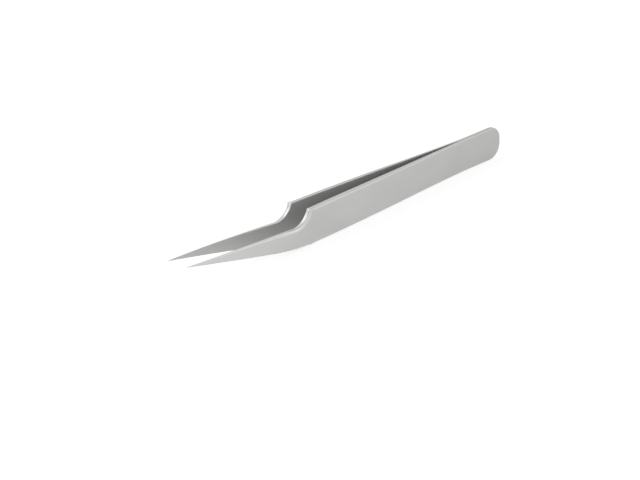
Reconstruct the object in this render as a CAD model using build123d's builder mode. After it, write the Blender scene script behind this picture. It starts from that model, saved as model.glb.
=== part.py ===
"""Bent precision tweezers: two bowed steel arms welded face to face at the heel.

X runs along the tool to its points, Y across it and Z up. The tool stands on its lower edges,
and the origin is at the middle of its length and width, on the surface that it stands on.
Each arm is one blade. Seen from the side it has a straight underside that bends up into the
nose, and a notch that leaves the nose slender. Seen from above it is flat at the weld, bows
outwards and thins to a fine point.
"""
import os
from math import radians, tan

from build123d import *

# Side of an arm
length = 115.0               # heel end to the points
heel_height = 8.1            # lower edge to upper edge at the heel
heel_crown = 0.8             # how far the heel end bulges between its corners
heel_corner_radius = 3.2
shoulder_height = 8.9        # the highest place, just behind the notch
shoulder_radius = 0.6        # corner between the upper edge and the notch
bend_radius = 92.0           # underside, where it turns up into the nose
underside_rise = 11.1        # degrees, slope of the nose's lower edge

# Nose and notch
nose_length = 36.3           # the points back to the lowest place of the notch
notch_floor = 5.3            # height of that place above the standing surface
notch_radius = 4.8
nose_arch = 0.12             # how far the nose's upper edge bulges above a straight line
point_height = 7.08          # lower edge of the point above the standing surface
point_depth = 0.16           # lower to upper edge at the very point

# Half of the gap between the arms
weld_length = 12.0           # the arms touch this far from the heel end
grip_gap = 1.27              # midway between the weld and the shoulder
shoulder_gap = 2.36
nose_gap = 3.02              # midway along the nose
point_gap = 2.88
point_lean = 1.0             # degrees that the inner faces lean together at the points

# Thickness of an arm
heel_wall = 0.85
grip_wall = 1.2
shoulder_wall = 1.45
nose_wall = 0.75
point_wall = 0.14

# Rounding of the outer edges
edge_round = 0.45            # from the heel to the root of the nose
nose_round_share = 0.6       # on the nose, as a share of the wall there
depth_limit = 0.45           # no rounding takes more than this share of an arm's height
wall_limit = 0.9             # nor more than this share of its wall or of the shoulder's corner
root_past_bend = 2.0         # the root of the nose lies this far in front of the bend
nose_stations = 3            # sections from the root of the nose to the point

heel_x = -length / 2
point_x = length / 2
weld_x = heel_x + weld_length
notch_x = point_x - nose_length
shoulder_x = notch_x - notch_radius
bend_x = point_x - point_height / tan(radians(underside_rise))
root_x = bend_x + bend_radius * tan(radians(underside_rise / 2)) + root_past_bend
point_top = point_height + point_depth
over = 2 * notch_radius      # how far a cutting outline reaches past the steel


def side_outline():
    """Side of an arm: heel, straight underside, bend, nose, notch and shoulder."""
    with BuildSketch(Plane.XZ) as side:
        with BuildLine():
            upper = Spline(
                (heel_x + heel_crown, heel_height),
                (notch_x, shoulder_height),
                tangents=[(1, 0), (1, 0)],
            )
            Polyline(
                upper @ 1,
                (point_x, shoulder_height),
                (point_x, point_height),
                (bend_x, 0),
                (heel_x + heel_crown, 0),
            )
            SagittaArc((heel_x + heel_crown, 0), upper @ 0, heel_crown)
        make_face()
        fillet(side.vertices().sort_by_distance((bend_x, 0))[0], bend_radius)
        heel_corners = side.vertices().group_by(Axis.X)[0]
        fillet(heel_corners, min(heel_corner_radius, depth_limit * heel_height))
        with BuildLine():
            nose_upper = SagittaArc((point_x, point_top), (notch_x, notch_floor), -nose_arch)
            notch = JernArc(nose_upper @ 1, nose_upper % 1, notch_radius, -90)
            Polyline(
                notch @ 1,
                (notch @ 1) + Vector(0, over),
                (point_x + over, shoulder_height + 2 * over),
                (point_x + over, point_top),
                (point_x, point_top),
            )
        make_face(mode=Mode.SUBTRACT)
        shoulder = side.vertices().sort_by_distance((shoulder_x, shoulder_height))[0]
        fillet(shoulder, shoulder_radius)
    return side.sketch


def plan_outline():
    """Left arm from above: flat weld, bow, and a wall that thins to the point."""
    stations = [
        ((weld_x + shoulder_x) / 2, grip_gap, grip_wall),
        (shoulder_x, shoulder_gap, shoulder_wall),
        ((notch_x + point_x) / 2, nose_gap, nose_wall),
        (point_x, point_gap, point_wall),
    ]
    lean = tan(radians(point_lean))
    thinning = 2 * (nose_wall - point_wall) / nose_length
    with BuildSketch() as plan:
        with BuildLine():
            inner = Spline(
                (weld_x, 0),
                *[(x, gap) for x, gap, wall in stations],
                tangents=[(1, 0), (1, -lean)],
            )
            outer = Spline(
                (weld_x, heel_wall),
                *[(x, gap + wall) for x, gap, wall in stations],
                tangents=[(1, 0), (1, -lean - thinning)],
            )
            Line(inner @ 1, outer @ 1)
            Polyline(outer @ 0, (heel_x, heel_wall), (heel_x, 0), inner @ 0)
        make_face()
    return plan.sketch


def nose_section(x):
    """Section of the nose at x: flat inside, with its outer edges rounded to suit the wall."""
    steel = blank.part.intersect(Plane.YZ.offset(x))[0].bounding_box()
    wall = steel.size.Y
    depth = steel.size.Z
    with BuildSketch(Plane.YZ.offset(x)) as cut:
        with Locations((steel.center().Y, steel.center().Z)):
            Rectangle(wall, depth)
        outer_corners = cut.vertices().group_by(Axis.X)[-1]
        fillet(outer_corners, min(nose_round_share * wall, depth_limit * depth))
    return cut.sketch


# Blank: the left arm with square edges, as it is cut and bowed
with BuildPart() as blank:
    extrude(plan_outline(), amount=shoulder_height + over)
    extrude(side_outline(), amount=over, both=True, mode=Mode.INTERSECT)

station_step = (point_x - root_x) / nose_stations
nose = [nose_section(root_x + station_step * (k + 1)) for k in range(nose_stations)]
root_wall = blank.part.intersect(Plane.YZ.offset(root_x))[0].bounding_box().size.Y

# Left arm: outer edges rounded as far as the root, and the nose drawn out from there
with BuildPart() as left_arm:
    add(blank.part)
    split(bisect_by=Plane.YZ.offset(root_x), keep=Keep.BOTTOM)
    outer_faces = left_arm.faces().filter_by(lambda face: face.normal_at().Y > 0.9)
    rims = outer_faces.edges().filter_by(lambda edge: edge.bounding_box().size.X > 0.01)
    tightest = min(heel_wall, root_wall, shoulder_radius)
    fillet(rims, min(edge_round, wall_limit * tightest))
    root = left_arm.faces().sort_by(Axis.X)[-1]
    loft(sections=[root, *nose])
left_arm.part.label = "left_arm"

# Right arm: the same blade, mirrored
with BuildPart() as right_arm:
    mirror(left_arm.part, about=Plane.XZ)
right_arm.part.label = "right_arm"

os.makedirs("parts", exist_ok=True)
for arm in (left_arm, right_arm):
    export_step(arm.part, f"parts/{arm.part.label}.step")
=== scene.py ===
# %% [markdown]
# # Bent precision tweezers
# Two slim steel arms are welded face to face at the heel and bow apart towards the points.
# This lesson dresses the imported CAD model. It sweeps each arm again with soft, even edges,
# gives the steel its satin finish and sets a camera and soft light.
#
# The first cell loads the CAD model. Everything in the scene is in metres and in its frame:
# X runs along the tool to the points, Y runs across it and Z is up.

# %% Load the frame
import math

import bpy
import numpy as np
from mathutils import Matrix, Vector


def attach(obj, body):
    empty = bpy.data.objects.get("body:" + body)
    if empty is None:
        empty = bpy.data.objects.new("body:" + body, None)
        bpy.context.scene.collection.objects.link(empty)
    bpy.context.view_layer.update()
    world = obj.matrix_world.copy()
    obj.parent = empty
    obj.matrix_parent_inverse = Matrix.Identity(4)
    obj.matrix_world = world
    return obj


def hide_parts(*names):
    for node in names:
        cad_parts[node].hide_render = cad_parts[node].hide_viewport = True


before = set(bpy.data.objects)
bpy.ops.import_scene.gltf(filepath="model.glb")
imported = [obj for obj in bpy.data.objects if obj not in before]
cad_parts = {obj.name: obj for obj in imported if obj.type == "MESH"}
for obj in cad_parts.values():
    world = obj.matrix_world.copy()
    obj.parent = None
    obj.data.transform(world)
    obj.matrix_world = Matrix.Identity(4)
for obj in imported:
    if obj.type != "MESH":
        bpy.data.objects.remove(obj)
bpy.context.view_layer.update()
MM = 0.001

# %% [markdown]
# ## Camera
# The photograph was taken from far away with a long lens, so its lines hardly converge.
# The camera aims at a point just under the floor, a little in front of the tool's middle.
# It gets its place from the angles that it looks along, which keeps it easy to move round
# the object.

# %% Camera
CAMERA_AZIMUTH = math.radians(131.967)    # 0 looks along +Y
CAMERA_ELEVATION = math.radians(22.827)
CAMERA_ROLL = math.radians(-0.148)
CAMERA_DISTANCE = 0.7839
CAMERA_AIM = Vector((8.006, -1.186, -2.842)) * MM
CAMERA_LENS = 185.03      # this and the sensor in millimetres
CAMERA_SENSOR = 36.0

back = Vector((
    math.sin(CAMERA_AZIMUTH) * math.cos(CAMERA_ELEVATION),
    -math.cos(CAMERA_AZIMUTH) * math.cos(CAMERA_ELEVATION),
    math.sin(CAMERA_ELEVATION),
))
turn = (-back).to_track_quat("-Z", "Y").to_matrix() @ Matrix.Rotation(CAMERA_ROLL, 3, "Z")
camera = bpy.data.objects.new("camera", bpy.data.cameras.new("camera"))
camera.data.lens = CAMERA_LENS
camera.data.sensor_width = CAMERA_SENSOR
camera.matrix_world = Matrix.Translation(CAMERA_AIM + back * CAMERA_DISTANCE) @ turn.to_4x4()
bpy.context.scene.collection.objects.link(camera)
bpy.context.scene.camera = camera
print("camera stands at", [round(v, 3) for v in camera.location])

# %% [markdown]
# ## The side of an arm
# Each arm is cut from sheet steel. Seen from the side, a straight underside bends up into the
# nose, and a notch behind the nose leaves it slender. An outline like this is a chain of
# lines and arcs, so each edge is written as a height for every place along the arm.
#
# The sizes are in millimetres. They were fitted to the photograph once more after the CAD
# model was packed, so some of them differ a little from its own.

# %% Sizes seen from the side
LENGTH = 114.98
HEEL_HEIGHT = 8.25
HEEL_CROWN = 0.8            # how far the heel end bulges between its corners
HEEL_CORNERS = {"upper": 3.2, "lower": 3.8}
SHOULDER_HEIGHT = 8.895
SHOULDER_CORNER = 0.3
BEND_RADIUS = 85.0
NOSE_RISE = math.radians(11.15)
NOSE_LENGTH = 35.6          # the points back to the lowest place of the notch
NOTCH_FLOOR = 5.38          # height of that place
NOTCH_RADIUS = 5.2
NOSE_ARCH = 0.11            # how far the nose's upper edge bulges above a straight line
POINT_X = 57.5
POINT_HEIGHT = 7.08
POINT_DEPTH = 0.16

heel_x = POINT_X - LENGTH
notch_x = POINT_X - NOSE_LENGTH
bend_x = POINT_X - POINT_HEIGHT / math.tan(NOSE_RISE)
bend_start = bend_x - BEND_RADIUS * math.tan(NOSE_RISE / 2)
bend_end = bend_start + BEND_RADIUS * math.sin(NOSE_RISE)
point_top = POINT_HEIGHT + POINT_DEPTH
print(f"the underside bends up from x = {bend_start:.1f} to {bend_end:.1f} mm")


# %% Lower edge: straight, then a wide arc, then the rising nose
def arc_height(radius, run):
    """How high a circle stands above its centre at a place run to the side of it."""
    return np.sqrt(np.clip(radius**2 - run**2, 0, None))


def lower_edge(x):
    run = np.clip(x - bend_start, 0, bend_end - bend_start)
    arc = BEND_RADIUS - arc_height(BEND_RADIUS, run)
    return np.where(x < bend_end, arc, (x - bend_x) * math.tan(NOSE_RISE))


print(f"under the notch the lower edge has risen {float(lower_edge(notch_x)):.2f} mm")


# %% Upper edge: body, shoulder, notch and nose
def circle_through(a, b, rise):
    """Centre and radius of an arc from a to b that bulges up by rise between them."""
    a, b = np.array(a, float), np.array(b, float)
    half = np.linalg.norm(b - a) / 2
    radius = (half**2 + rise**2) / (2 * rise)
    up = np.array([-(b - a)[1], (b - a)[0]]) / (2 * half)
    return (a + b) / 2 - up * (radius - rise), radius


nose_centre, nose_radius = circle_through(
    (notch_x, NOTCH_FLOOR), (POINT_X, point_top), NOSE_ARCH
)
notch_lean = (notch_x - nose_centre[0]) / nose_radius
notch_centre = np.array([
    notch_x + NOTCH_RADIUS * notch_lean,
    NOTCH_FLOOR + NOTCH_RADIUS * math.sqrt(1 - notch_lean**2),
])


def body_top(x):
    """Upper edge behind the notch, which rises softly from the heel to the shoulder."""
    t = (x - heel_x - HEEL_CROWN) / (notch_x - heel_x - HEEL_CROWN)
    return HEEL_HEIGHT + (SHOULDER_HEIGHT - HEEL_HEIGHT) * t * t * (3 - 2 * t)


corner_z = body_top(notch_x - NOTCH_RADIUS) - SHOULDER_CORNER
reach = NOTCH_RADIUS + SHOULDER_CORNER
corner_x = notch_centre[0] - math.sqrt(reach**2 - (notch_centre[1] - corner_z) ** 2)
corner_end = corner_x + SHOULDER_CORNER * (notch_centre[0] - corner_x) / reach


def upper_edge(x):
    corner = corner_z + arc_height(SHOULDER_CORNER, x - corner_x)
    notch = notch_centre[1] - arc_height(NOTCH_RADIUS, x - notch_centre[0])
    nose = nose_centre[1] + arc_height(nose_radius, x - nose_centre[0])
    behind = [x < corner_x, x < corner_end, x < notch_x]
    return np.select(behind, [body_top(x), corner, notch], nose)


print(f"the shoulder stands at x = {corner_x:.2f} mm, {body_top(corner_x):.2f} mm high")

# %% [markdown]
# ## The two rounded ends
# The heel is ground round so that it doesn't catch: its end is a shallow arc with a rounded
# corner above and below it. The point ends in a tiny half circle. Both are made by drawing
# the two edges together over the last bit of the arm, until they meet.

# %% Heel end and point end
heel_radius = ((HEEL_HEIGHT / 2) ** 2 + HEEL_CROWN**2) / (2 * HEEL_CROWN)


def heel_corner(radius):
    """Where a corner of the heel has its centre, and the angle at which it meets the end."""
    rest, drop = heel_radius - radius, HEEL_HEIGHT / 2 - radius
    return heel_x + heel_radius - math.sqrt(rest**2 - drop**2), math.asin(drop / rest)


def heel_cut(x, radius):
    """How far the rounded heel end lies inside a straight edge."""
    centre_x, lean_by = heel_corner(radius)
    meet_x = heel_x + heel_radius * (1 - math.cos(lean_by))
    end = HEEL_HEIGHT / 2 - arc_height(heel_radius, x - heel_x - heel_radius)
    corner = radius - arc_height(radius, x - centre_x)
    return np.select([x < meet_x, x < centre_x], [end, corner], 0.0)


def point_share(x):
    """Share of the point's depth that is left at x: 1, then a quarter circle down to 0."""
    half = POINT_DEPTH / 2
    return np.sqrt(np.clip(1 - (np.clip(x - POINT_X + half, 0, half) / half) ** 2, 0, 1))


print(f"the heel end is an arc of {heel_radius:.1f} mm radius")

# %% [markdown]
# ## Stations
# The sweep needs places along the arm where it takes a section. They lie close together
# where the outline turns quickly: round the heel, the shoulder, the notch and the point.
#
# Two more values go with the stations. The corner of the shoulder is sharp, so the rounding
# of the outer edge has less room near it. The surface that the notch cuts gets a painted
# highlight, brighter than the faces, and that painted highlight fades out along the nose.

# %% Stations along the arm
HEEL_END_STATIONS = 4
HEEL_CORNER_STATIONS = 14
BODY_STATIONS = 100
NEAR_SHOULDER = 2.0         # behind the shoulder they lie closer for so many millimetres
NEAR_SHOULDER_STATIONS = 14
SHOULDER_STATIONS = 10
NOTCH_STATIONS = 40
NOSE_STATIONS = 80
POINT_STATIONS = 7
quarter = math.pi / 2


def heel_stations(radius):
    """Places round a corner of the heel."""
    centre_x, lean_by = heel_corner(radius)
    angles = np.linspace(lean_by, quarter, HEEL_CORNER_STATIONS)
    return centre_x - radius * np.cos(angles)


body_start, end_lean = heel_corner(HEEL_CORNERS["lower"])
heel_rise = np.linspace(0, heel_radius * math.sin(end_lean), HEEL_END_STATIONS)[:-1]
notch_top = math.asin((notch_centre[1] - corner_z) / reach)
near_x = corner_x - NEAR_SHOULDER
shoulder_angles = np.linspace(0, quarter - notch_top, SHOULDER_STATIONS)[:-1]
notch_angles = np.linspace(notch_top, quarter, NOTCH_STATIONS)
point_angles = np.linspace(0, quarter, POINT_STATIONS)[1:]
stations = np.concatenate([
    heel_x + heel_radius - arc_height(heel_radius, heel_rise),
    heel_stations(HEEL_CORNERS["upper"]),
    heel_stations(HEEL_CORNERS["lower"]),
    np.linspace(body_start, near_x, BODY_STATIONS),
    np.linspace(near_x, corner_x, NEAR_SHOULDER_STATIONS)[1:-1],
    corner_x + SHOULDER_CORNER * np.sin(shoulder_angles),
    notch_centre[0] - NOTCH_RADIUS * np.cos(notch_angles),
    np.linspace(notch_x, POINT_X - POINT_DEPTH / 2, NOSE_STATIONS),
    POINT_X - POINT_DEPTH / 2 * (1 - np.sin(point_angles)),
])
stations = np.unique(np.round(stations, 6))
lower = lower_edge(stations) + heel_cut(stations, HEEL_CORNERS["lower"])
upper = upper_edge(stations) - heel_cut(stations, HEEL_CORNERS["upper"])
depths = upper_edge(stations) - lower_edge(stations)
middle = (lower + upper) / 2
lower = middle + (lower - middle) * point_share(stations)
upper = middle + (upper - middle) * point_share(stations)
print(len(stations), "stations, and the two ends close to", upper[[0, -1]] - lower[[0, -1]], "mm")

# %% Room for the rounding, and the cut surface of the notch
ROOM_AT_CORNER = 0.9        # share of the corner's radius
ROOM_GAIN = 0.7             # rounding gained for each millimetre of edge beyond the corner
# The painted highlight on the cut surface of the notch begins, ends and fades by these sizes.
CUT_START = 0.15            # the cut surface begins over so many millimetres
CUT_END = 7.0               # it ends so far in front of the lowest place of the notch
CUT_FADE = 8.0              # and fades out over so many

edge_length = np.concatenate([[0], np.cumsum(np.hypot(np.diff(stations), np.diff(upper)))])
corner_length = np.interp((corner_x + corner_end) / 2, stations, edge_length)
from_corner = np.abs(edge_length - corner_length) - SHOULDER_CORNER
room = ROOM_AT_CORNER * SHOULDER_CORNER + ROOM_GAIN * np.clip(from_corner, 0, None)
# in_notch is how much painted highlight the cut surface gets at each station.
cut_begins = np.clip((stations - corner_x) / CUT_START, 0, 1)
cut_lasts = np.clip((notch_x + CUT_END - stations) / CUT_FADE, 0, 1)
in_notch = cut_begins * cut_lasts
print(f"the rounding has {room.min():.2f} mm of room at the corner of the shoulder")

# %% [markdown]
# ## The bow seen from above
# Seen from above, an arm bends away at the end of the weld, swings out and leans back a
# little at the point. The wall is thin at the heel, thickest at the shoulder and drawn down
# to a fine point. Each arm could be pressed to this bow before the two are welded.
#
# A smooth line through a few measured places, with a set direction at both ends, is what a
# bent spring looks like, and it is how the CAD model makes it too.

# %% Sizes seen from above
WELD_LENGTH = 13.0
OPENING_ANGLE = math.radians(2.4)    # the short bend at the end of the weld
OPENING_RADIUS = 60.0
HEEL_WALL = 0.85
POINT_LEAN = math.radians(1.0)

weld_x = heel_x + WELD_LENGTH
shoulder_x = notch_x - NOTCH_RADIUS
measured_x = [(weld_x + shoulder_x) / 2, shoulder_x, (notch_x + POINT_X) / 2, POINT_X]
gaps = [1.26, 2.38, 3.04, 2.88]      # from the middle plane to an arm, at those places
walls = [1.3, 1.42, 0.73, 0.14]
print("an arm is measured at x =", [round(x, 1) for x in measured_x], "mm")


# %% Smooth lines through measured places
def smooth_line(places, values, first_slope, last_slope):
    """Slopes at the places for which the line through them bends evenly."""
    places, values = np.array(places), np.array(values)
    runs = np.diff(places)
    matrix, right = np.eye(len(places)), np.zeros(len(places))
    right[0], right[-1] = first_slope, last_slope
    for i in range(1, len(places) - 1):
        a, b = runs[i - 1], runs[i]
        matrix[i, i - 1 : i + 2] = [1 / a, 2 / a + 2 / b, 1 / b]
        before = 3 * (values[i] - values[i - 1]) / a**2
        after = 3 * (values[i + 1] - values[i]) / b**2
        right[i] = before + after
    return np.linalg.solve(matrix, right)


def follow(x, places, values, slopes):
    """Height and slope of that line at x."""
    places, values = np.array(places), np.array(values)
    i = np.clip(np.searchsorted(places, x, side="right") - 1, 0, len(places) - 2)
    run = places[i + 1] - places[i]
    t = np.clip((x - places[i]) / run, 0, 1)
    a, b = values[i], values[i + 1]
    m, n = slopes[i] * run, slopes[i + 1] * run
    square = 3 * (b - a) - 2 * m - n
    cube = 2 * (a - b) + m + n
    height = a + m * t + square * t**2 + cube * t**3
    slope = (m + 2 * square * t + 3 * cube * t**2) / run
    return height, slope


# %% Inner and outer face of the left arm
def bowed_face(x, start, offsets, last_slope):
    """Distance of a face from the middle plane and its slope: level, a short bend, the bow."""
    radius = OPENING_RADIUS - start
    bend_run = radius * math.sin(OPENING_ANGLE)
    places = [weld_x + bend_run, *measured_x]
    values = [start + radius * (1 - math.cos(OPENING_ANGLE)), *offsets]
    slopes = smooth_line(places, values, math.tan(OPENING_ANGLE), last_slope)
    height, slope = follow(x, places, values, slopes)
    run = np.clip(x - weld_x, 0, bend_run)
    drop = arc_height(radius, run)
    bending = x < places[0]
    height = np.where(bending, start + radius - drop, height)
    return height, np.where(bending, run / drop, slope)


lean = math.tan(POINT_LEAN)
thinning = 2 * (walls[2] - walls[3]) / NOSE_LENGTH
outsides = [gap + wall for gap, wall in zip(gaps, walls)]
gap, gap_slope = bowed_face(stations, 0.0, gaps, -lean)
outside, outside_slope = bowed_face(stations, HEEL_WALL, outsides, -lean - thinning)
print(f"widest at x = {stations[outside.argmax()]:.1f} mm, {outside.max():.2f} mm from the middle")

# %% [markdown]
# ## The path of the sweep
# A mesh of bare points carries what the sweep has to know at each station as attributes:
# where the upper and lower edges are, which way is into the steel there, and how far the
# inner and outer faces stand from the middle plane.


# %% Path with its attributes
def in_plane(xs, zs):
    """Vectors in the XZ plane."""
    return np.stack([xs, np.zeros_like(xs), zs], 1)


def inwards(xs, zs, side):
    """Unit vectors from an edge into the steel. side is 1 for the upper edge, else -1."""
    line = np.stack([xs, zs], 1)
    step = np.diff(line, axis=0)
    size = np.linalg.norm(step, axis=1)[:, None]
    along = np.zeros_like(line)
    along[1:-1] = step[:-1] * size[1:] / size[:-1] + step[1:] * size[:-1] / size[1:]
    normal = np.stack([along[:, 1], -along[:, 0]], 1) * side
    normal[0], normal[-1] = (1, 0), (-1, 0)
    normal /= np.linalg.norm(normal, axis=1)[:, None]
    return in_plane(*normal.T)


def mesh_with(name, positions, vectors, numbers):
    """A mesh of bare points with attributes, as an object that is hidden from the render."""
    mesh = bpy.data.meshes.new(name)
    mesh.from_pydata([tuple(p) for p in positions], [], [])
    for key, value in vectors.items():
        attribute = mesh.attributes.new(key, "FLOAT_VECTOR", "POINT")
        attribute.data.foreach_set("vector", value.ravel())
    for key, value in numbers.items():
        mesh.attributes.new(key, "FLOAT", "POINT").data.foreach_set("value", value)
    made = bpy.data.objects.new(name, mesh)
    bpy.context.scene.collection.objects.link(made)
    made.hide_render = True
    return made


station_vectors = {
    "upper": in_plane(stations, upper) * MM,
    "lower": in_plane(stations, lower) * MM,
    "upper_in": inwards(stations, upper, 1),
    "lower_in": inwards(stations, lower, -1),
}
station_numbers = {
    "gap": gap * MM,
    "gap_slope": gap_slope,
    "outside": outside * MM,
    "outside_slope": outside_slope,
    "depth": depths * MM,
    "room": room * MM,
    "in_notch": in_notch,
}
path = mesh_with("arm_path", in_plane(stations, middle) * MM, station_vectors, station_numbers)
print("the path carries", [a.name for a in path.data.attributes if not a.is_internal])

# %% [markdown]
# ## The section
# Cut across, an arm is flat inside, where the edges are only broken by a fine bevel, and
# rounded outside, where fingers hold it. The section is a ring of points. Each point says
# which edge it belongs to, how deep in the wall it lies, and how many roundings and bevels
# it lies in from the corner. The true sizes come later, in the tree.
#
# Four marks tell the steel where a point lies: on the rounded rim, on the surface that
# the notch cuts, in the crease between those two, or on the inner face. The steel uses them
# for its roughness and for painted highlights and painted shade.

# %% Ring of the section
FACE_ROWS = 14
SIDE_ROWS = 4
ROUND_STEPS = 8
BEVEL_STEPS = 3
# The painted shade of the crease covers the rounding beyond this depth.
CREASE_FROM = 0.7           # share of the rounding's depth
LABELS = ("across", "through", "round_in", "round_deep", "bevel_in", "bevel_deep")


def eased(count):
    """Places from 0 to 1 that lie closer together near both ends."""
    return (1 - np.cos(np.linspace(0, math.pi, count + 1))) / 2


def half_ring(edge):
    """From the middle of the inner face over one edge to the middle of the outer face."""
    rows = []
    toward = eased(FACE_ROWS)
    toward = toward[toward >= 0.5]
    for t in toward:
        rows.append((t, 0, 0, 0, 1, 0))
    for turn_by in np.linspace(0, quarter, BEVEL_STEPS + 1)[1:]:
        rows.append((1, 0, 0, 0, 1 - math.sin(turn_by), 1 - math.cos(turn_by)))
    for t in eased(SIDE_ROWS)[1:]:
        rows.append((1, t, 0, t, 0, 1 - t))
    for turn_by in np.linspace(0, quarter, ROUND_STEPS + 1)[1:]:
        rows.append((1, 1, 1 - math.cos(turn_by), 1 - math.sin(turn_by), 0, 0))
    for t in toward[::-1][1:]:
        rows.append((t, 1, 1, 0, 0, 0))
    rows = np.array(rows, float)
    if edge == "lower":
        rows[:, 0] = 1 - rows[:, 0]
    return rows


ring = np.concatenate([half_ring("upper"), half_ring("lower")[::-1][1:-1]])
ring = np.concatenate([ring, ring[:1]])
across, through, round_in, round_deep, _, bevel_deep = ring.T
# on_rim and on_cut carry painted highlights, on_crease and on_inside painted shade.
marks = {
    "on_rim": np.where((through == 1) & (round_in < 1), np.sin(math.pi * round_deep), 0.0),
    "on_cut": ((across == 1) & ((bevel_deep == 0) | (round_deep > 0))).astype(float),
    "on_crease": ((through == 1) & (round_deep > CREASE_FROM)).astype(float),
    "on_inside": (through == 0).astype(float),
}
ring_numbers = {**dict(zip(LABELS, ring.T)), **marks}
section = mesh_with("arm_section", [(0, 0, 0)] * len(ring), {}, ring_numbers)
print("the section is a ring of", len(ring), "points, the last on the first")

# %% [markdown]
# ## The tree that sweeps an arm
# Geometry Nodes lay out a plain grid, with one row of points for each station and one
# column for each point of the section. Each point then looks up its station and its place
# in the section, and moves to where the rule puts it. The ends close because the edges meet
# there, and Merge by Distance sews the seams.


# %% Helpers for node trees
def add(tree, kind, name="", **settings):
    """A node with its settings. The keys in values= fill or link its input sockets."""
    values = settings.pop("values", {})
    node = tree.nodes.new(kind)
    node.label = name
    for key, value in settings.items():
        setattr(node, key, value)
    for key, value in values.items():
        if isinstance(value, bpy.types.NodeSocket):
            tree.links.new(value, node.inputs[key])
        else:
            node.inputs[key].default_value = value
    return node


def maths(tree, operation, *values):
    """The result of a Math node."""
    node = add(tree, "ShaderNodeMath", operation=operation, values=dict(enumerate(values)))
    return node.outputs[0]


def vector_maths(tree, operation, *values):
    """The result of a Vector Math node. SCALE takes its factor last."""
    keys = {0: values[0], ("Scale" if operation == "SCALE" else 1): values[1]}
    return add(tree, "ShaderNodeVectorMath", operation=operation, values=keys).outputs[0]


COLUMN_STEP, ROW_STEP = 220, 170


def lay_out(tree):
    """Places the nodes in columns, from the inputs on the left to the output on the right."""
    depth = {node: 0 for node in tree.nodes}
    for _ in range(len(depth)):
        for link in tree.links:
            depth[link.to_node] = max(depth[link.to_node], depth[link.from_node] + 1)
    rows = {}
    for node, column in depth.items():
        rows[column] = rows.get(column, 0) + 1
        node.location = (COLUMN_STEP * column, -ROW_STEP * rows[column])


# %% Inputs of the tree
sweep = bpy.data.node_groups.new("sweep_arm", "GeometryNodeTree")
sizes = {
    "Edge rounding": ("NodeSocketFloat", 0.62 * MM),
    "Rounding share of wall": ("NodeSocketFloat", 0.6),
    "Rounding share of depth": ("NodeSocketFloat", 0.45),
    "Inner bevel": ("NodeSocketFloat", 0.06 * MM),
    "Side": ("NodeSocketFloat", 1.0),
    "Section": ("NodeSocketObject", None),
    "Steel": ("NodeSocketMaterial", None),
}
sweep.interface.new_socket("Path", in_out="INPUT", socket_type="NodeSocketGeometry")
socket_of = {}
for name, (kind, value) in sizes.items():
    socket = sweep.interface.new_socket(name, in_out="INPUT", socket_type=kind)
    socket_of[name] = socket.identifier
    if value is not None:
        socket.default_value = value
sweep.interface.new_socket("Arm", in_out="OUTPUT", socket_type="NodeSocketGeometry")
given = sweep.nodes.new("NodeGroupInput").outputs
print("the tree's inputs are Path,", ", ".join(sizes))


# %% Grid of stations by section points
def point_count(geometry):
    """How many points a mesh has."""
    size = add(sweep, "GeometryNodeAttributeDomainSize", values={0: geometry})
    return size.outputs["Point Count"]


section_info = add(sweep, "GeometryNodeObjectInfo", values={"Object": given["Section"]})
section_mesh = section_info.outputs["Geometry"]
station_count = point_count(given["Path"])
ring_count = point_count(section_mesh)
grid = add(
    sweep,
    "GeometryNodeMeshGrid",
    values={"Vertices X": station_count, "Vertices Y": ring_count},
).outputs["Mesh"]

# The grid numbers its points row by row. Half a point more keeps the floor of the division
# safe from rounding.
index = add(sweep, "GeometryNodeInputIndex").outputs[0]
station = maths(sweep, "FLOOR", maths(sweep, "DIVIDE", maths(sweep, "ADD", index, 0.5), ring_count))
place = maths(sweep, "SUBTRACT", index, maths(sweep, "MULTIPLY", station, ring_count))


def look_up(source, where, key, kind="FLOAT"):
    """The attribute key of source, at the point with that number."""
    named = add(sweep, "GeometryNodeInputNamedAttribute", data_type=kind, values={"Name": key})
    return add(
        sweep,
        "GeometryNodeSampleIndex",
        name=key,
        data_type=kind,
        domain="POINT",
        values={"Geometry": source, "Value": named.outputs[0], "Index": where},
    ).outputs[0]


at_station = {
    key: look_up(given["Path"], station, key, "FLOAT_VECTOR") for key in station_vectors
}
at_station |= {key: look_up(given["Path"], station, key) for key in station_numbers}
in_section = {key: look_up(section_mesh, place, key) for key in ring_numbers}
print("the tree looks up", len(at_station), "values of the station")
print("and", len(in_section), "values of the section")

# %% Where a point goes in the side view
BEVEL_SHARE = 0.2           # the bevel takes no more than this share of the wall

wall = maths(sweep, "SUBTRACT", at_station["outside"], at_station["gap"])
rounding = maths(
    sweep,
    "MINIMUM",
    maths(sweep, "MINIMUM", given["Edge rounding"], at_station["room"]),
    maths(
        sweep,
        "MINIMUM",
        maths(sweep, "MULTIPLY", wall, given["Rounding share of wall"]),
        maths(sweep, "MULTIPLY", at_station["depth"], given["Rounding share of depth"]),
    ),
)
widest_bevel = maths(sweep, "MULTIPLY", wall, BEVEL_SHARE)
bevel = maths(sweep, "MINIMUM", given["Inner bevel"], widest_bevel)
inset = maths(
    sweep,
    "ADD",
    maths(sweep, "MULTIPLY", in_section["round_in"], rounding),
    maths(sweep, "MULTIPLY", in_section["bevel_in"], bevel),
)


def edge_point(edge):
    """The place on an edge of the arm, moved into the steel by the inset."""
    step = vector_maths(sweep, "SCALE", at_station[edge + "_in"], inset)
    return vector_maths(sweep, "ADD", at_station[edge], step)


side_place = add(
    sweep,
    "ShaderNodeMix",
    data_type="VECTOR",
    values={0: in_section["across"], 4: edge_point("lower"), 5: edge_point("upper")},
).outputs[1]
place_x, _, place_z = add(sweep, "ShaderNodeSeparateXYZ", values={0: side_place}).outputs
station_x = add(sweep, "ShaderNodeSeparateXYZ", values={0: at_station["upper"]}).outputs[0]
past_station = maths(sweep, "SUBTRACT", place_x, station_x)
print("the side view brings the tree to", len(sweep.nodes), "nodes")


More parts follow.
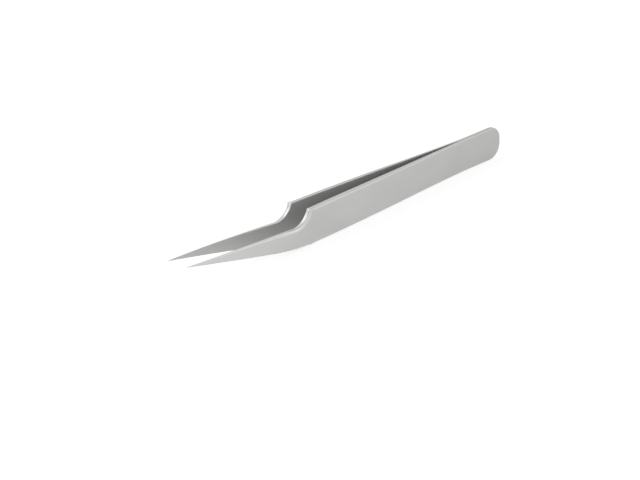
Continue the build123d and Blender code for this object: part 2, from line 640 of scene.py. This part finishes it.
# %% Where it goes in the wall
def face_y(face):
    """How far a face stands from the middle plane beside the point."""
    slope = at_station[face + "_slope"]
    return maths(sweep, "MULTIPLY_ADD", slope, past_station, at_station[face])


inner_y = face_y("gap")
wall_here = maths(sweep, "SUBTRACT", face_y("outside"), inner_y)
y = maths(sweep, "MULTIPLY_ADD", in_section["through"], wall_here, inner_y)
y = maths(sweep, "SUBTRACT", y, maths(sweep, "MULTIPLY", in_section["round_deep"], rounding))
y = maths(sweep, "ADD", y, maths(sweep, "MULTIPLY", in_section["bevel_deep"], bevel))
y = maths(sweep, "MULTIPLY", y, given["Side"])
target = add(
    sweep,
    "ShaderNodeCombineXYZ",
    values={0: place_x, 1: y, 2: place_z},
).outputs[0]
print("the wall brings it to", len(sweep.nodes), "nodes")

# %% Move, mark and sew
SEAM = 0.0005 * MM          # points closer than this are one

moved = add(sweep, "GeometryNodeSetPosition", values={"Geometry": grid, "Position": target})
arm = moved.outputs[0]
in_cut = maths(sweep, "MULTIPLY", at_station["in_notch"], in_section["on_cut"])
# These marks drive the roughness and the painted highlights and painted shade of the steel.
finish_and_light_marks = {
    "rim": in_section["on_rim"],
    "cut": in_cut,
    "crease": maths(sweep, "MULTIPLY", in_cut, in_section["on_crease"]),
    "inside": in_section["on_inside"],
}
for name, value in finish_and_light_marks.items():
    arm = add(
        sweep,
        "GeometryNodeStoreNamedAttribute",
        data_type="FLOAT",
        domain="POINT",
        values={"Geometry": arm, "Name": name, "Value": value},
    ).outputs[0]
sewn = add(sweep, "GeometryNodeMergeByDistance", values={"Geometry": arm, "Distance": SEAM})

# %% Turn the faces outwards and finish
flipped = add(sweep, "GeometryNodeFlipFaces", values={"Mesh": sewn.outputs[0]})
left_side = maths(sweep, "GREATER_THAN", given["Side"], 0.0)
arm = add(
    sweep,
    "GeometryNodeSwitch",
    input_type="GEOMETRY",
    values={"Switch": left_side, "False": flipped.outputs[0], "True": sewn.outputs[0]},
).outputs[0]
arm = add(sweep, "GeometryNodeSetShadeSmooth", values={0: arm}).outputs[0]
arm = add(sweep, "GeometryNodeRealizeInstances", values={0: arm}).outputs[0]
arm = add(
    sweep,
    "GeometryNodeSetMaterial",
    values={"Geometry": arm, "Material": given["Steel"]},
).outputs[0]
add(sweep, "NodeGroupOutput", values={"Arm": arm})
lay_out(sweep)
print("the whole tree has", len(sweep.nodes), "nodes")

# %% [markdown]
# ## Satin steel
# The faces are ground and then satined, so they look even from afar and show a fine grain
# that runs along the arm from near by. The material starts from one metal and varies its
# colour, roughness and bump with stretched noise.
#
# It also reads the four marks that the sweep left as attributes. The rims are a little
# smoother and carry a faint painted highlight. The surface that the notch cuts gets a
# painted highlight, and a line of painted shade lies in the crease beside it. The inner
# faces are rougher and darker with painted shade. Painted shade darkens the arms softly
# towards the heel, and painted light brightens them towards the points.

# %% Sizes of the finish and of the painted light and shade
STEEL_COLOUR = (0.532, 0.532, 0.525)
CLOUD_TONE = 0.05           # tones are shares of the brightness
GRAIN_TONE = 0.05
SPECKLE_TONE = 0.03
# Painted shade darkens the arms towards the heel, and painted light brightens them towards the
# points.
HEEL_PAINTED_SHADE = -0.15
POINT_PAINTED_LIGHT = 0.14
# A faint painted highlight on the rounded rims.
RIM_PAINTED_HIGHLIGHT = 0.02
# A painted highlight on the cut surface of the notch.
CUT_PAINTED_HIGHLIGHT = 0.18
# Painted shade in the crease between the cut surface and the rounded rim.
CREASE_PAINTED_SHADE = -0.4
# Painted shade on the inner faces between the arms.
INSIDE_PAINTED_SHADE = -0.06
SMOOTHEST = 0.30
ROUGHEST = 0.44
RIM_ROUGHNESS = -0.08       # what the rims and the inner faces add
INSIDE_ROUGHNESS = 0.25
BUMP_STRENGTH = 0.35
BUMP_DISTANCE = 0.004 * MM
GRAIN_BUMP = 0.7
SPECKLE_BUMP = 0.5

steel = bpy.data.materials.new("satin_steel")
steel.use_nodes = True
shader = steel.node_tree
shader.nodes.clear()
coords = add(shader, "ShaderNodeTexCoord").outputs["Object"]
rim, cut, crease, inside = [
    add(shader, "ShaderNodeAttribute", attribute_name=name).outputs["Fac"] for name in finish_and_light_marks
]
print("the steel reads", list(finish_and_light_marks))


# %% Noise, tones and painted light and shade
def noise(scale, detail, stretch=(1, 1, 1)):
    """Noise on the object's own coordinates, drawn out along X where stretch is small."""
    mapping = add(shader, "ShaderNodeMapping", values={"Vector": coords, "Scale": stretch})
    return add(
        shader,
        "ShaderNodeTexNoise",
        values={"Vector": mapping.outputs[0], "Scale": scale, "Detail": detail},
    ).outputs[0]


def between(value, low, high, start=0.0, end=1.0):
    """value from start..end as low..high."""
    values = {0: value, 1: start, 2: end, 3: low, 4: high}
    return add(shader, "ShaderNodeMapRange", values=values).outputs[0]


def shares(first, first_share, second, second_share):
    """The first value and the second, each times its share, added up."""
    scaled = maths(shader, "MULTIPLY", second, second_share)
    return maths(shader, "MULTIPLY_ADD", first, first_share, scaled)


grain = noise(scale=9000, detail=3, stretch=(0.06, 1, 1))
speckle = noise(scale=14000, detail=2)
cloud = noise(scale=160, detail=2, stretch=(0.5, 1, 1))
tone = maths(
    shader,
    "ADD",
    between(cloud, -CLOUD_TONE, CLOUD_TONE),
    between(grain, -GRAIN_TONE, GRAIN_TONE),
)
tone = maths(shader, "ADD", tone, between(speckle, -SPECKLE_TONE, SPECKLE_TONE))
along = add(shader, "ShaderNodeSeparateXYZ", values={0: coords}).outputs[0]
# Painted shade towards the heel and painted light towards the points.
painted_light_heel_to_points = maths(
    shader,
    "ADD",
    between(along, HEEL_PAINTED_SHADE, 0.0, heel_x * MM, notch_x * MM),
    between(along, 0.0, POINT_PAINTED_LIGHT, notch_x * MM, POINT_X * MM),
)
# Painted highlights on the cut and the rims, and painted shade in the crease and on the inner
# faces.
painted_light_and_shade_marks = maths(
    shader,
    "ADD",
    shares(cut, CUT_PAINTED_HIGHLIGHT, rim, RIM_PAINTED_HIGHLIGHT),
    shares(crease, CREASE_PAINTED_SHADE, inside, INSIDE_PAINTED_SHADE),
)

# %% Steel material
# The steel's own tones plus the painted light and shade.
brightness = maths(
    shader,
    "ADD",
    maths(shader, "ADD", 1.0, tone),
    maths(shader, "ADD", painted_light_heel_to_points, painted_light_and_shade_marks),
)
roughness = maths(
    shader,
    "ADD",
    between(grain, SMOOTHEST, ROUGHEST),
    shares(inside, INSIDE_ROUGHNESS, rim, RIM_ROUGHNESS),
)
height = maths(
    shader,
    "ADD",
    maths(shader, "MULTIPLY", grain, GRAIN_BUMP),
    maths(shader, "MULTIPLY", speckle, SPECKLE_BUMP),
)
bump = add(
    shader,
    "ShaderNodeBump",
    values={"Strength": BUMP_STRENGTH, "Distance": BUMP_DISTANCE, "Height": height},
)
metal = add(
    shader,
    "ShaderNodeBsdfPrincipled",
    values={
        "Base Color": vector_maths(shader, "SCALE", STEEL_COLOUR, brightness),
        "Metallic": 1.0,
        "Roughness": roughness,
        "Normal": bump.outputs[0],
    },
)
add(shader, "ShaderNodeOutputMaterial", values={0: metal.outputs[0]})
lay_out(shader)
print("the steel has", len(shader.nodes), "nodes")

# %% [markdown]
# ## The two arms
# The two arms of real tweezers are the same blade, bent as mirror images, so one tree makes
# both: Side is 1 for the left arm and -1 for the right one. The modifier's inputs are set by
# the identifier of each socket before the first evaluation, and the result is kept as a
# plain mesh.


# %% Sweep both arms
def sweep_arm(name, side):
    """One arm as a plain mesh, swept by the tree along the path."""
    maker = bpy.data.objects.new(name + "_path", path.data)
    bpy.context.scene.collection.objects.link(maker)
    modifier = maker.modifiers.new("sweep", "NODES")
    modifier.node_group = sweep
    modifier[socket_of["Side"]] = side
    modifier[socket_of["Section"]] = section
    modifier[socket_of["Steel"]] = steel
    bpy.context.view_layer.update()
    evaluated = maker.evaluated_get(bpy.context.evaluated_depsgraph_get())
    mesh = bpy.data.meshes.new_from_object(evaluated)
    mesh.name = name
    bpy.data.objects.remove(maker)
    made = bpy.data.objects.new(name, mesh)
    bpy.context.scene.collection.objects.link(made)
    return made


def volume_mm3(mesh):
    """Signed volume from the mesh's triangles: positive when the faces point outwards."""
    mesh.calc_loop_triangles()
    points = np.array([v.co for v in mesh.vertices])
    a, b, c = points[np.array([t.vertices for t in mesh.loop_triangles])].swapaxes(0, 1)
    return np.einsum("ij,ij->i", a, np.cross(b, c)).sum() / 6 / MM**3


for node, side in (("left_arm", 1.0), ("right_arm", -1.0)):
    arm = sweep_arm(node + "_steel", side)
    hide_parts(node)
    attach(arm, "root")
    print(arm.name, len(arm.data.polygons), "faces,", round(volume_mm3(arm.data), 1), "mm3")

for helper in (path, section):
    bpy.data.objects.remove(helper)

# %% [markdown]
# ## Floor and light
# The tweezers stand on white paper in a light tent, so soft light reaches them from all
# round. The world is the tent. The camera and the steel see it at full strength, but it
# lights the paper at half strength, so that the arms keep a soft shadow. The paper has a
# glow that only the camera and the steel see, which makes it look white.
#
# Two soft boxes hang above the tool. The stronger one is beyond the points, where the notch
# and the rims reflect it. The weaker one is behind the heel.


# %% Rays that see a surface
def seen(tree):
    """1 for rays from the camera or by way of a mirror, and 0 for rays that gather light."""
    rays = add(tree, "ShaderNodeLightPath").outputs
    mirrored = maths(tree, "MAXIMUM", rays["Is Glossy Ray"], rays["Is Transmission Ray"])
    return maths(tree, "MAXIMUM", rays["Is Camera Ray"], mirrored)


# %% Floor
FLOOR_HALF = 3.0            # metres from the middle to an edge
PAPER_COLOUR = (0.9, 0.9, 0.9, 1)
PAPER_GLOW = 0.55

floor = bpy.data.objects.new("floor", bpy.data.meshes.new("floor"))
floor_corners = [(-1, -1), (1, -1), (1, 1), (-1, 1)]
floor.data.from_pydata(
    [(x * FLOOR_HALF, y * FLOOR_HALF, 0) for x, y in floor_corners], [], [(0, 1, 2, 3)]
)
bpy.context.scene.collection.objects.link(floor)
paper = bpy.data.materials.new("white_paper")
paper.use_nodes = True
tree = paper.node_tree
tree.nodes.clear()
matt = add(tree, "ShaderNodeBsdfDiffuse", values={"Color": PAPER_COLOUR})
glow_strength = maths(tree, "MULTIPLY", seen(tree), PAPER_GLOW)
glow = add(tree, "ShaderNodeEmission", values={"Strength": glow_strength})
both = add(tree, "ShaderNodeAddShader", values={0: matt.outputs[0], 1: glow.outputs[0]})
add(tree, "ShaderNodeOutputMaterial", values={0: both.outputs[0]})
lay_out(tree)
floor.data.materials.append(paper)
print("the floor is", 2 * FLOOR_HALF, "m wide")

# %% World
TENT_SEEN = 1.0
TENT_LIGHT = 0.5

world = bpy.data.worlds.new("light_tent")
bpy.context.scene.world = world
world.use_nodes = True
tree = world.node_tree
tent = tree.nodes["Background"].inputs
tent_strength = add(
    tree,
    "ShaderNodeMapRange",
    values={0: seen(tree), 3: TENT_LIGHT, 4: TENT_SEEN},
).outputs[0]
tent[0].default_value = (1, 1, 1, 1)
tree.links.new(tent_strength, tent[1])
lay_out(tree)
print("the tent is seen at", TENT_SEEN, "and lights at", TENT_LIGHT)

# %% Soft boxes
SOFTBOX_SIZE = 0.6
SOFTBOXES = {
    "front_softbox": ((0.35, -0.56, 0.62), 0.9),    # where it hangs in metres, and its watts
    "back_softbox": ((-0.62, 0.35, 0.56), 0.35),
}

for name, (hangs_at, watts) in SOFTBOXES.items():
    light = bpy.data.lights.new(name, "AREA")
    light.size = SOFTBOX_SIZE
    light.energy = watts
    lamp = bpy.data.objects.new(name, light)
    lamp.location = hangs_at
    lamp.rotation_mode = "QUATERNION"
    lamp.rotation_quaternion = (-Vector(hangs_at)).to_track_quat("-Z", "Y")
    bpy.context.scene.collection.objects.link(lamp)
    print(name, "gives", watts, "W at", hangs_at)

# %% [markdown]
# ## Look and close
# The Standard view transform shows colours as they are written.

bpy.context.scene.view_settings.view_transform = "Standard"
